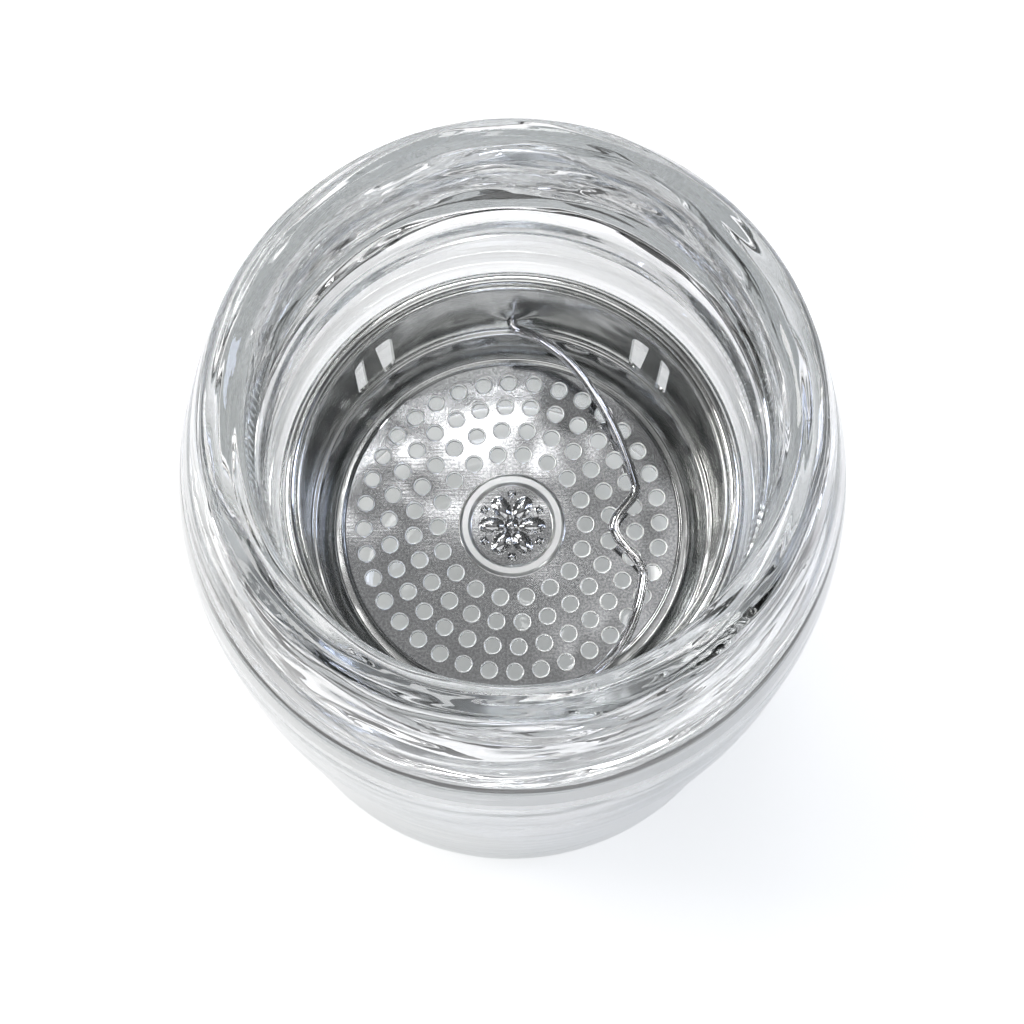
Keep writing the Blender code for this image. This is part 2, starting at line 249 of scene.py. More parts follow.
def makeGlass():
    # Borosilicate glass, blown on a lathe and flame-worked: colourless and very clear, greyer where
    # it is thick. The worked collar keeps slow drawn waves, which smear what is seen through it
    look = {
        "tint": "#ffffff",
        # painted shade where the wall turns away from the eye
        "edgeShade": "#8d979d",
        "edgeStart": 0.72,
        "ior": 1.47,
        "depthColour": "#b5babd",
        "depthDensity": 7.5,
        "lampTint": "#e2e4e3",
        "calmBelow": 85.0,
        "livelyAbove": 91.0,
        "calmShare": 0.04,
        "wanderTurns": 1.1,
        "waves": (
            # pitch up the wall, turns round it, depth, and how far the rings wander up and down
            {"pitch": 6.5, "turns": 1.5, "depth": 1.6, "wander": 12.0, "seed": 0.0},
            {"pitch": 3.2, "turns": 2.4, "depth": 0.50, "wander": -14.0, "seed": 7.3},
            {"pitch": 1.6, "turns": 3.0, "depth": 0.06, "wander": 10.0, "seed": 3.1},
        ),
        # painted shade for the dark line at the seam
        "seamShade": "#17110d",
        "seamLow": 89.6,
        "seamHigh": 91.1,
        "seamInside": 33.0,
        "seamOutside": 35.6,
    }
    glass = emptyMaterial("blownBorosilicateGlass")
    place = addNode(glass, "ShaderNodeTexCoord").outputs["Object"]
    height, spoke, radius = axisParts(glass, place)
    worked = addNode(glass, "ShaderNodeMapRange", {
        "From Min": mm(look["calmBelow"]), "From Max": mm(look["livelyAbove"]),
        "To Min": look["calmShare"], "To Max": 1.0,
    }, {"Value": height}).outputs[0]
    normal = None
    for wave in look["waves"]:
        # the fourth coordinate runs outwards, so the wall's two faces don't carry the same waves
        outwards = addNode(glass, "ShaderNodeMath", {
            "operation": "MULTIPLY_ADD", 1: perMetre(wave["pitch"]), 2: wave["seed"],
        }, {0: radius}).outputs[0]
        wander = addNode(glass, "ShaderNodeTexNoise", {
            "noise_dimensions": "4D", "Scale": look["wanderTurns"], "Detail": 0.0,
        }, {"Vector": spoke, "W": outwards})
        raised = addNode(glass, "ShaderNodeMath", {"operation": "MULTIPLY_ADD", 1: mm(wave["wander"])}, {
            0: wander.outputs["Fac"], 2: height,
        })
        spot = ringSpot(glass, spoke, raised.outputs[0], wave["turns"], wave["pitch"])
        noise = addNode(glass, "ShaderNodeTexNoise", {
            "noise_dimensions": "4D", "Scale": 1.0, "Detail": 0.0,
        }, {"Vector": spot, "W": outwards})
        links = {"Height": addNode(glass, "ShaderNodeMath", {"operation": "MULTIPLY"}, {
            0: noise.outputs["Fac"], 1: worked,
        }).outputs[0]}
        if normal:
            links["Normal"] = normal
        bump = addNode(glass, "ShaderNodeBump", {"Strength": 1.0, "Distance": mm(wave["depth"])}, links)
        normal = bump.outputs[0]
    # at the fused seam, at the outer foot of the closed gap's arch, the dark line is painted shade: an opaque
    # near-black ring
    seam = maskWhere(glass, (
        ("GREATER_THAN", look["seamLow"], height),
        ("LESS_THAN", look["seamHigh"], height),
        ("GREATER_THAN", look["seamInside"], radius),
        ("LESS_THAN", look["seamOutside"], radius),
    ))
    # where the wall turns away from the eye its colour turns grey: painted shade along the edges, besides
    # what the absorption gives for the long way through it
    facing = addNode(glass, "ShaderNodeLayerWeight", {"Blend": 0.5})
    turning = addNode(glass, "ShaderNodeMapRange", {"From Min": look["edgeStart"], "From Max": 1.0}, {
        "Value": facing.outputs["Facing"],
    })
    body = addNode(glass, "ShaderNodeMix", {
        "data_type": "RGBA", 6: hexColour(look["tint"]), 7: hexColour(look["edgeShade"]),
    }, {0: turning.outputs[0]})
    colour = addNode(glass, "ShaderNodeMix", {"data_type": "RGBA", 7: hexColour(look["seamShade"])}, {
        0: seam, 6: body.outputs[2],
    })
    through = addNode(glass, "ShaderNodeMath", {"operation": "SUBTRACT", 0: 1.0}, {1: seam})
    shader = addNode(glass, "ShaderNodeBsdfPrincipled", {"Roughness": 0.0, "IOR": look["ior"]}, {
        "Base Color": colour.outputs[2], "Transmission Weight": through.outputs[0], "Normal": normal,
    })
    # lamps and the soft room light pass straight through, as thin clear glass lets them
    clear = addNode(glass, "ShaderNodeBsdfTransparent", {"Color": hexColour(look["lampTint"])})
    path = addNode(glass, "ShaderNodeLightPath")
    forRoom = addNode(glass, "ShaderNodeMixShader", {}, {
        0: path.outputs["Is Diffuse Ray"], 1: shader.outputs[0], 2: clear.outputs[0],
    })
    forLamps = addNode(glass, "ShaderNodeMixShader", {}, {
        0: path.outputs["Is Shadow Ray"], 1: forRoom.outputs[0], 2: clear.outputs[0],
    })
    depth = addNode(glass, "ShaderNodeVolumeAbsorption", {
        "Color": hexColour(look["depthColour"]), "Density": look["depthDensity"],
    })
    addNode(glass, "ShaderNodeOutputMaterial", {}, {
        "Surface": forLamps.outputs[0], "Volume": depth.outputs[0],
    })
    return glass


def makeSteel(name, look):
    # Stainless steel, grey with a slightly cool cast. Drawing and polishing leave fine lines and a
    # faint grain, and thin sheet is never quite flat, so its reflections are soft and wander
    steel = emptyMaterial(name)
    place = addNode(steel, "ShaderNodeTexCoord").outputs["Object"]
    height, spoke, radius = axisParts(steel, place)
    cloud = addNode(steel, "ShaderNodeTexNoise", {
        "noise_dimensions": "4D", "Scale": perMetre(look["cloudPitch"]), "Detail": 1.0, "W": look["seed"],
    }, {"Vector": place}).outputs["Fac"]
    roughness = addNode(steel, "ShaderNodeMapRange", {
        "From Min": cloudRange[0], "From Max": cloudRange[1],
        "To Min": look["roughness"] - look["roughnessSpread"],
        "To Max": look["roughness"] + look["roughnessSpread"],
    }, {"Value": cloud}).outputs[0]
    normal = addNode(steel, "ShaderNodeBump", {
        "Strength": 1.0, "Distance": mm(look["swell"]),
    }, {"Height": cloud}).outputs[0]
    for line in look["lines"]:
        if line["course"] == "round":
            spot = ringSpot(steel, spoke, height, line["radius"] / line["length"], line["pitch"])
        else:
            across = perMetre(line["pitch"])
            spot = addNode(steel, "ShaderNodeMapping", {
                "Rotation": (0, 0, math.radians(line["course"])),
                "Scale": (perMetre(line["length"]), across, across),
            }, {"Vector": place}).outputs[0]
        scratch = addNode(steel, "ShaderNodeTexNoise", {"Scale": 1.0, "Detail": 1.0}, {"Vector": spot})
        normal = addNode(steel, "ShaderNodeBump", {
            "Strength": 1.0, "Distance": mm(line["depth"]),
        }, {"Height": scratch.outputs["Fac"], "Normal": normal}).outputs[0]
    speckle = addNode(steel, "ShaderNodeTexNoise", {"Scale": perMetre(look["grainPitch"]), "Detail": 1.0}, {
        "Vector": place,
    })
    grain = addNode(steel, "ShaderNodeMapRange", {"From Min": grainRange[0], "From Max": grainRange[1]}, {
        "Value": speckle.outputs["Fac"],
    })
    colour = addNode(steel, "ShaderNodeMix", {
        "data_type": "RGBA", 6: hexColour(look["colour"]), 7: hexColour(look["grainColour"]),
    }, {0: grain.outputs[0]}).outputs[2]
    for part in look["raised"]:
        # punch and die burnish what they raise, which scatters more light than the sheet round it; its
        # lighter colour is a painted highlight
        share = maskWhere(steel, (
            ("GREATER_THAN", part["above"], height),
            ("GREATER_THAN", part["beyond"], radius),
            ("LESS_THAN", part["within"], radius),
        ))
        roughness = addNode(steel, "ShaderNodeMix", {"data_type": "FLOAT", 3: part["roughness"]}, {
            0: share, 2: roughness,
        }).outputs[0]
        colour = addNode(steel, "ShaderNodeMix", {"data_type": "RGBA", 7: hexColour(part["colour"])}, {
            0: share, 6: colour,
        }).outputs[2]
    shader = addNode(steel, "ShaderNodeBsdfPrincipled", {"Metallic": 1.0}, {
        "Base Color": colour, "Roughness": roughness, "Normal": normal,
    })
    addNode(steel, "ShaderNodeOutputMaterial", {}, {"Surface": shader.outputs[0]})
    return steel


# nearly all of a noise lies between these
cloudRange = (0.3, 0.7)
grainRange = (0.35, 0.65)

# stainless sheet, deep-drawn into the cup's wall, with the tool's fine lines round it
wallSteel = makeSteel("deepDrawnStainless", {
    "colour": "#cecfce", "roughness": 0.16, "roughnessSpread": 0.06,
    "cloudPitch": 6.0, "swell": 0.20, "seed": 0.0,
    "lines": ({"course": "round", "radius": 24.0, "length": 9.0, "pitch": 0.45, "depth": 0.003},),
    "grainPitch": 0.40, "grainColour": "#c6c7c6", "raised": (),
})
# stainless sheet, punched, pressed and polished, with the scratches of wiping and washing, which
# are coarser here than real ones, as fine as the picture can show
plateSteel = makeSteel("polishedStainlessPlate", {
    "colour": "#b9babb", "roughness": 0.12, "roughnessSpread": 0.05,
    "cloudPitch": 10.0, "swell": 0.25, "seed": 2.0,
    "lines": (
        {"course": 22.0, "length": 5.0, "pitch": 0.22, "depth": 0.0014},
        {"course": 74.0, "length": 4.0, "pitch": 0.25, "depth": 0.0015},
        {"course": -38.0, "length": 3.0, "pitch": 0.30, "depth": 0.0015},
    ),
    "grainPitch": 0.30, "grainColour": "#9fa0a2",
    "raised": (
        # the medallion's round ridge, then the rims of the punched holes
        # the lighter colours are painted highlights on the ridge and the hole rims, and the higher roughness
        # is the burnish
        {"above": 60.02, "beyond": 4.7, "within": 7.2, "roughness": 0.34, "colour": "#e6e6e6"},
        {"above": 60.02, "beyond": 7.2, "within": 19.5, "roughness": 0.46, "colour": "#ffffff"},
    ),
})
# stainless spring wire, drawn bright
wireSteel = makeSteel("brightDrawnWire", {
    "colour": "#d8d8da", "roughness": 0.08, "roughnessSpread": 0.03,
    "cloudPitch": 4.0, "swell": 0.02, "seed": 1.0, "lines": (),
    "grainPitch": 0.40, "grainColour": "#cfcfd1", "raised": (),
})
print("materials made")

# The glass: one fused body with a sealed gap between its walls

glassSizes = {
    "steps": 192,
    "height": 111.88,
    "lipRadius": 2.5,
    "lipCentre": 29.9,
    "lipAngle": 13.0,
    "lipPull": 0.58,
    "lipSteps": 24,
    "bellyRadius": 37.62,
    "bellyHeight": 65.8,
    "bellyPullUp": 0.42,
    "bellyPullDown": 0.20,
    "domeSteps": 60,
    "waistShare": 0.35,
    "waistHeight": 0.5,
    "waistSteps": 50,
    "footRadius": 35.4,
    "footEdge": 1.3,
    "footEdgeSteps": 8,
    "footRing": 6.5,
    "footRingRounding": 3.0,
    "footSlope": 3.5,
    "recess": 1.2,
    "recessRounding": 6.0,
    "recessStep": 2.0,
    "floor": 5.0,
    "shellWall": 2.2,
    "shellRise": 11.0,
    "linerWall": 2.0,
    "linerGap": 4.8,
    "linerFloor": 2.5,
    "linerRounding": 3.0,
    "linerStep": 1.5,
    "bowlRise": 14.0,
    "bowlFlat": 0.85,
    "bowlTurn": 0.25,
    "bowlSteps": 26,
    "seatFoot": (25.7, 75.99),
    "seatTop": (26.7, 76.99),
    "seatRounding": 0.5,
    # faint steps that the forming tool leaves in the bore: height, how far it widens, rounding
    "boreSteps": ((88.2, -0.08, 0.15), (88.6, 0.04, 0.15), (90.4, -0.05, 0.2), (90.7, 0.0, 0.2)),
    "boreStep": 1.2,
    "seamHeight": 90.2,
    "archRise": 2.4,
    "archTurn": 10,
    "smooth": 50,
    # the slow unevenness of glass worked by hand, as a few long waves: turns round the axis, radians
    # for each mm up the wall and shares of the size, with none near the axis and the foot
    "handWork": {
        "seed": 3,
        "size": 0.03,
        "waves": 6,
        "turns": (2, 5),
        "pitch": (0.02, 0.12),
        "share": (0.3, 1.0),
        "calmRadius": 20,
        "calmHeight": 2,
    },
}


def outsideOfGlass(sizes, inset=0.0):
    # from the lip's outer corner down to the foot's edge; inset gives the inner face of the shell
    angle = math.radians(sizes["lipAngle"])
    lip = (
        sizes["lipCentre"] + sizes["lipRadius"] * math.cos(angle),
        sizes["height"] - sizes["lipRadius"] * (1 - math.sin(angle)),
    )
    dome = lip[1] - sizes["bellyHeight"]
    pull = dome * sizes["lipPull"]
    belly = (sizes["bellyRadius"], sizes["bellyHeight"])
    upper = bezierPoints(
        lip,
        (lip[0] + math.sin(angle) * pull, lip[1] - math.cos(angle) * pull),
        (belly[0], belly[1] + dome * sizes["bellyPullUp"]),
        belly,
        sizes["domeSteps"],
    )
    rise = belly[1] - sizes["footEdge"]
    waist = sizes["footRadius"] + (belly[0] - sizes["footRadius"]) * sizes["waistShare"]
    lower = bezierPoints(
        belly,
        (belly[0], belly[1] - rise * sizes["bellyPullDown"]),
        (waist, sizes["footEdge"] + rise * sizes["waistHeight"]),
        (sizes["footRadius"], sizes["footEdge"]),
        sizes["waistSteps"],
    )
    return [(r - inset, z) for r, z in upper + lower[1:]]


def bowlPoints(sizes, radius, floor, rise):
    # a blown floor, level in the middle and turning up into the wall without a hard line
    return bezierPoints(
        (0, floor),
        (radius * sizes["bowlFlat"], floor),
        (radius, floor + rise * sizes["bowlTurn"]),
        (radius, floor + rise),
        sizes["bowlSteps"],
    )


def insideFloorHeight(sizes):
    return sizes["recess"] + sizes["floor"] + sizes["linerGap"] + sizes["linerFloor"]


def boreRadius(sizes):
    return sizes["lipCentre"] - sizes["lipRadius"]


def bodyOutline(sizes):
    # up the inside of the cup, over the lip, down the outside and in under the foot
    bore = boreRadius(sizes)
    lipHeight = sizes["height"] - sizes["lipRadius"]
    lip = arcPoints(
        sizes["lipCentre"], lipHeight, sizes["lipRadius"], 180, sizes["lipAngle"], sizes["lipSteps"],
    )
    footCentre = sizes["footRadius"] - sizes["footEdge"]
    edge = arcPoints(footCentre, sizes["footEdge"], sizes["footEdge"], 0, -90, sizes["footEdgeSteps"])
    ringInner = footCentre - sizes["footRing"]
    inside = bowlPoints(sizes, sizes["seatFoot"][0], insideFloorHeight(sizes), sizes["bowlRise"])
    inside += roundedOutline([
        (*inside[-1], 0),
        (*sizes["seatFoot"], sizes["seatRounding"]),
        (*sizes["seatTop"], sizes["seatRounding"]),
        *[(bore + widening, height, rounding) for height, widening, rounding in sizes["boreSteps"]],
        (bore, lipHeight, 0),
    ], sizes["boreStep"], closed=False)[1:]
    under = roundedOutline([
        (edge[-1][0], 0.0, 0),
        (ringInner, 0.0, sizes["footRingRounding"]),
        (ringInner - sizes["footSlope"], sizes["recess"], sizes["recessRounding"]),
        (0.0, sizes["recess"], 0),
    ], sizes["recessStep"], closed=False)
    return inside + lip[1:] + outsideOfGlass(sizes)[1:] + edge[1:] + under[1:]


def gapOutline(sizes):
    # up the outside of the inner cup, over the closed arch and down the inside of the shell
    shellInside = [p for p in outsideOfGlass(sizes, sizes["shellWall"]) if p[1] < sizes["seamHeight"]]
    floorTop = sizes["recess"] + sizes["floor"]
    archOuter = shellInside[0][0]
    archInner = boreRadius(sizes) + sizes["linerWall"]
    middle = (archOuter + archInner) / 2
    half = (archOuter - archInner) / 2
    turns = [math.radians(a) for a in range(180, -1, -sizes["archTurn"])]
    arch = [
        (middle + half * math.cos(a), sizes["seamHeight"] + sizes["archRise"] * math.sin(a))
        for a in turns
    ]
    down = [p for p in shellInside if p[1] > floorTop + sizes["shellRise"]]
    shellFloor = bowlPoints(sizes, down[-1][0], floorTop, down[-1][1] - floorTop)[::-1]
    underside = insideFloorHeight(sizes) - sizes["linerFloor"]
    cupRadius = sizes["seatFoot"][0] + sizes["linerWall"]
    liner = bowlPoints(sizes, cupRadius, underside, sizes["bowlRise"] + sizes["linerFloor"])
    liner += roundedOutline([
        (*liner[-1], 0),
        (cupRadius, sizes["seatFoot"][1], sizes["linerRounding"]),
        (sizes["seatTop"][0] + sizes["linerWall"], sizes["seatTop"][1], sizes["linerRounding"]),
        (archInner, sizes["seamHeight"], 0),
    ], sizes["linerStep"], closed=False)[1:]
    return liner + arch[1:] + down + shellFloor[1:]


def makeGlassBody(sizes):
    body = turnOutline("glassBody", bodyOutline(sizes), sizes["steps"])
    gap = turnOutline("sealedGap", gapOutline(sizes), sizes["steps"], inwards=True)
    return joinPieces(body, [gap])


def waver(piece, look):
    draw = random.Random(look["seed"])
    waves = [
        (
            draw.randint(*look["turns"]),
            draw.uniform(*look["pitch"]),
            draw.uniform(0, math.tau),
            look["size"] * draw.uniform(*look["share"]),
        )
        for _ in range(look["waves"])
    ]
    for vertex in piece.data.vertices:
        x, y, z = vertex.co
        radius = math.hypot(x, y)
        if radius < mm(look["calmRadius"]) or z < mm(look["calmHeight"]):
            continue
        angle = math.atan2(y, x)
        height = z * 1000
        swell = sum(a * math.sin(k * angle + pitch * height + phase) for k, pitch, phase, a in waves)
        scale = 1 + mm(swell) / radius
        vertex.co = (x * scale, y * scale, z)


glassBody = makeGlassBody(glassSizes)
waver(glassBody, glassSizes["handWork"])
smoothPiece(glassBody, glassSizes["smooth"])
finishPiece(glassBody, makeGlass(), "glass", ["glass_shell", "glass_liner"])

# The strainer's drawn wall

wallSizes = {
    "steps": 240,
    "sectionStep": 0.45,
    "disc": 60.0,
    "sheet": 0.5,
    "innerRadius": 24.2,
    "stepHeight": 2.4,
    "stepRadius": 23.55,
    "stepThinning": 0.85,
    "stepDrop": 0.1,
    "bandFoot": 21.6,
    "flangeInner": 19.2,
    "flangeTop": 58.5,
    "cutRounding": 0.1,
    "innerRounding": 0.35,
    "stepRounding": 0.3,
    "outerRounding": 0.6,
    "rimHeight": 77.35,
    # the sheet's way from the wall into the rolled rim: how far out, how far up, and rounding
    "rimLip": ((0.0, 0.25, 0.35), (0.38, 0.58, 0.12), (0.46, -0.05, 0.04)),
    "beadRadius": 0.8,
    "beadCentre": 25.5,
    "beadStart": 172,
    "beadEnd": -138,
    "beadSteps": 26,
    "beadMeets": 0.95,
    "beadFillet": 0.15,
    "pivotHeight": 68.0,
    "dimpleDepth": 0.75,
    "dimpleSpread": 1.9,
    "dimpleSteepness": 0.9,
    "dimpleReach": 3,
    "holeRadius": 0.8,
    "holeSides": 40,
    "windowWidth": 5.9,
    "windowBottom": 62.6,
    "windowHeight": 11.7,
    "windowRounding": 1.3,
    "windowRoundingSteps": 5,
    "windowDepth": 4.0,
    "tabAngle": 43.0,
    "tabRoot": 0.7,
    "tabFoot": 2.7,
    "tabTip": 1.8,
    "tabLean": 0.66,
    "tabInset": 0.03,
    "tabSheet": 0.4,
    "tabSlit": 0.5,
    "tabRows": 16,
    "tabColumns": 6,
    # the tip's corners: from which share of the width they fall away, how far, and in which row
    "tabFlat": 0.3,
    "tabCorner": 0.5,
    "tabTipShare": 0.99,
    "smooth": 35,
}


def makeStrainerWall(sizes):
    sheet = sizes["sheet"]
    inner = sizes["innerRadius"]
    step = sizes["disc"] + sizes["stepHeight"]
    outerStep = step - sizes["stepDrop"]
    top = sizes["rimHeight"]
    floor = sizes["flangeTop"]
    cut = sizes["cutRounding"]
    bead = arcPoints(
        sizes["beadCentre"], top, sizes["beadRadius"],
        sizes["beadStart"], sizes["beadEnd"], sizes["beadSteps"],
    )
    # down the outside, in along the flange that holds the disc, and up the inside
    corners = [
        (inner + sheet, top - sizes["beadRadius"] * sizes["beadMeets"], sizes["beadFillet"]),
        (inner + sheet, outerStep, sizes["outerRounding"]),
        (sizes["stepRadius"] + sheet * sizes["stepThinning"], outerStep - sheet, sizes["stepRounding"]),
        (sizes["bandFoot"] + sheet, floor - sheet, sizes["outerRounding"]),
        (sizes["flangeInner"], floor - sheet, cut),
        (sizes["flangeInner"], floor, cut),
        (sizes["bandFoot"], floor, sizes["innerRounding"]),
        (sizes["stepRadius"], step, sizes["innerRounding"]),
        (inner, step, sizes["stepRounding"]),
        *[(inner + out, top + up, rounding) for out, up, rounding in sizes["rimLip"]],
        *[(radius, height, 0) for radius, height in bead],
    ]
    outline = roundedOutline(corners, sizes["sectionStep"])
    wall = turnOutline("strainerWall", outline, sizes["steps"], closed=True)
    pressDimples(wall, sizes)
    for angle in tabAngles(sizes):
        cutAway(wall, windowCutter(sizes, angle))
        cutAway(wall, springTab(sizes, angle), "UNION")
    cutAway(wall, pivotCutter(sizes))
    return wall


def tabAngles(sizes):
    away = sizes["tabAngle"]
    return [90 - away, 90 + away, 270 - away, 270 + away]


def pressDimples(wall, sizes):
    # the sheet is pressed inwards round each of the bail's two holes, and the rolled rim isn't
    clearance = 0.1
    for vertex in wall.data.vertices:
        x, y, z = vertex.co
        if math.hypot(x, y) > mm(sizes["innerRadius"] + sizes["sheet"] + clearance):
            continue
        away = math.hypot(x, z - mm(sizes["pivotHeight"])) / mm(sizes["dimpleSpread"])
        if away > sizes["dimpleReach"]:
            continue
        inwards = mm(sizes["dimpleDepth"]) * math.exp(-away * away * sizes["dimpleSteepness"])
        vertex.co.y -= math.copysign(inwards, y)


def windowCutter(sizes, angle):
    depth = sizes["windowDepth"]
    deselectAll()
    bpy.ops.mesh.primitive_cube_add(size=1, location=(0, 0, 0))
    cutter = bpy.context.object
    cutter.scale = (mm(depth), mm(sizes["windowWidth"]), mm(sizes["windowHeight"]))
    cutter.location = (mm(sizes["innerRadius"]), 0, mm(sizes["windowBottom"] + sizes["windowHeight"] / 2))
    bpy.ops.object.transform_apply()
    bpy.ops.object.mode_set(mode="EDIT")
    bpy.ops.mesh.select_all(action="DESELECT")
    # only the four edges that pass through the sheet are rounded
    edit = bmesh.from_edit_mesh(cutter.data)
    for edge in edit.edges:
        a, b = (v.co for v in edge.verts)
        edge.select = abs(a.x - b.x) > mm(depth / 2)
    bmesh.update_edit_mesh(cutter.data)
    bpy.ops.mesh.bevel(offset=mm(sizes["windowRounding"]), segments=sizes["windowRoundingSteps"])
    bpy.ops.object.mode_set(mode="OBJECT")
    cutter.rotation_euler.z = math.radians(angle)
    bpy.ops.object.transform_apply()
    return cutter


def springTab(sizes, angle):
    # a tongue rooted in the wall under its window, curling outwards towards its tip
    root = sizes["windowBottom"] - sizes["tabRoot"]
    tip = sizes["windowBottom"] + sizes["windowHeight"] - sizes["tabSlit"]
    middleRadius = sizes["innerRadius"] + sizes["sheet"] / 2 - sizes["tabInset"]
    deselectAll()
    bpy.ops.mesh.primitive_grid_add(
        x_subdivisions=sizes["tabColumns"], y_subdivisions=sizes["tabRows"], size=1,
    )
    tab = bpy.context.object
    for vertex in tab.data.vertices:
        u, v = vertex.co.x, vertex.co.y + 0.5
        height = root + (tip - root) * v
        share = max(0.0, (height - sizes["windowBottom"]) / (tip - sizes["windowBottom"]))
        width = sizes["tabFoot"] + (sizes["tabTip"] - sizes["tabFoot"]) * share
        beyond = max(0.0, (abs(u) - sizes["tabFlat"]) / (0.5 - sizes["tabFlat"]))
        corner = sizes["tabCorner"] * beyond ** 2 if share > sizes["tabTipShare"] else 0.0
        radius = middleRadius + sizes["tabLean"] * math.sin(share * math.pi / 2)
        bow = math.asin(max(-1, min(1, u * width / radius)))
        vertex.co = (mm(radius * math.cos(bow)), mm(radius * math.sin(bow)), mm(height - corner))
    thick = tab.modifiers.new("thick", "SOLIDIFY")
    thick.thickness = mm(sizes["tabSheet"])
    thick.offset = 0.0
    bpy.ops.object.modifier_apply(modifier=thick.name)
    tab.rotation_euler.z = math.radians(angle)
    bpy.ops.object.transform_apply()
    cleanMesh(tab)
    return tab


def pivotCutter(sizes):
    throughBothWalls = 60
    deselectAll()
    bpy.ops.mesh.primitive_cylinder_add(
        vertices=sizes["holeSides"], radius=mm(sizes["holeRadius"]), depth=mm(throughBothWalls),
        location=(0, 0, mm(sizes["pivotHeight"])), rotation=(math.radians(90), 0, 0),
    )
    cutter = bpy.context.object
    bpy.ops.object.transform_apply()
    return cutter


strainerWall = makeStrainerWall(wallSizes)
smoothPiece(strainerWall, wallSizes["smooth"])
finishPiece(strainerWall, wallSteel, "strainer", ["strainer_cup"])

# The perforated plate with its pressed medallion

plateSizes = {
    "steps": 192,
    "height": 60.0,
    "sheet": 0.5,
    "radius": 20.8,
    "skirt": 1.2,
    "edgeBend": 0.6,
    "edgeSteps": 6,
    "edgeRounding": 0.12,
    "innerRounding": 0.1,
    "edgeStep": 0.6,
    "medallion": 7.3,
    "medallionRings": 64,
    "medallionSides": 96,
    "medallionCentre": 0.02,
    "holeRadius": 0.9,
    "holeSides": 24,
    "holeRounding": 0.11,
    "burr": 0.09,
    # shares of the rounding: how far the rim spreads out above, below and at its shoulder
    "rimSpread": 2.2,
    "underSpread": 0.4,
    "shoulderSpread": 1.5,
    "shoulderRise": 0.6,
    "rimStart": 80,
    "rimSteps": 3,
    "firstRing": 9.0,
    "ringPitch": 3.0,
    "firstCount": 18,
    "countStep": 6,
    "phases": (1.0, 6.0, -2.9, 1.2),
    "ridgeRadius": 5.7,
    "ridgeWidth": 0.75,
    "ridgeHeight": 0.5,
    "ridgeSlope": 1.9,
    "petals": 6,
    "petalReach": 2.45,
    "petalLength": 1.55,
    "petalWidth": 0.98,
    "petalHeight": 0.36,
    "buttonRadius": 0.85,
    "dotReach": 3.85,
    "dotRadius": 0.42,
    "dotShare": 0.8,
    "reliefPower": 0.8,
    "smooth": 40,
}


def medallionRelief(x, y, sizes):
    # height in mm of the pressed ornament: a round ridge, petals, a button and dots between the petals
    radius = math.hypot(x, y)
    angle = math.atan2(y, x)
    slope = sizes["ridgeSlope"] * (1 - abs(radius - sizes["ridgeRadius"]) / sizes["ridgeWidth"])
    slope = min(1.0, max(0.0, slope))
    height = sizes["ridgeHeight"] * slope * slope * (3 - 2 * slope)
    sector = math.tau / sizes["petals"]
    local = (angle + sector / 2) % sector - sector / 2
    along = radius * math.cos(local) - sizes["petalReach"]
    across = radius * math.sin(local)
    petal = 1 - (along / sizes["petalLength"]) ** 2 - (across / sizes["petalWidth"]) ** 2
    button = 1 - (radius / sizes["buttonRadius"]) ** 2
    between = (angle % sector) - sector / 2
    away = (radius * math.cos(between) - sizes["dotReach"]) ** 2 + (radius * math.sin(between)) ** 2
    dot = 1 - away / sizes["dotRadius"] ** 2
    for bulge, share in ((petal, 1.0), (button, 1.0), (dot, sizes["dotShare"])):
        height += sizes["petalHeight"] * share * max(0.0, bulge) ** sizes["reliefPower"]
    return height


def circlePoints(radius, count, centre=(0.0, 0.0), phase=0.0):
    turns = [phase + math.tau * i / count for i in range(count)]
    return [(centre[0] + radius * math.cos(a), centre[1] + radius * math.sin(a)) for a in turns]


def holeCentres(sizes):
    centres = []
    for ring, phase in enumerate(sizes["phases"]):
        radius = sizes["firstRing"] + ring * sizes["ringPitch"]
        count = sizes["firstCount"] + ring * sizes["countStep"]
        centres += circlePoints(radius, count, phase=math.radians(phase))
    return centres


def flatSheet(sizes, height, holeRadius):
    # the flat field between the medallion and the turned edge, filled as one outline with its holes
    deselectAll()
    bpy.ops.curve.primitive_bezier_circle_add(location=(0, 0, 0))
    sheet = bpy.context.object
    sheet.data.dimensions = "2D"
    sheet.data.fill_mode = "BOTH"
    sheet.data.splines.clear()
    loops = [circlePoints(sizes["radius"] - sizes["edgeBend"], sizes["steps"])]
    loops.append(circlePoints(sizes["medallion"], sizes["medallionSides"]))
    loops += [circlePoints(holeRadius, sizes["holeSides"], centre) for centre in holeCentres(sizes)]
    for loop in loops:
        spline = sheet.data.splines.new("POLY")
        spline.points.add(len(loop) - 1)
        for point, (x, y) in zip(spline.points, loop):
            point.co = (mm(x), mm(y), 0.0, 1.0)
        spline.use_cyclic_u = True
    bpy.ops.object.convert(target="MESH")
    sheet = bpy.context.object
    sheet.data.transform(Matrix.Translation((0, 0, mm(height))))
    return sheet


def rimFoot(sizes):
    # how far the raised rim reaches round each hole, on the upper and the lower face
    return (
        sizes["holeRadius"] + sizes["holeRounding"] * sizes["rimSpread"],
        sizes["holeRadius"] + sizes["holeRounding"] * sizes["underSpread"],
    )


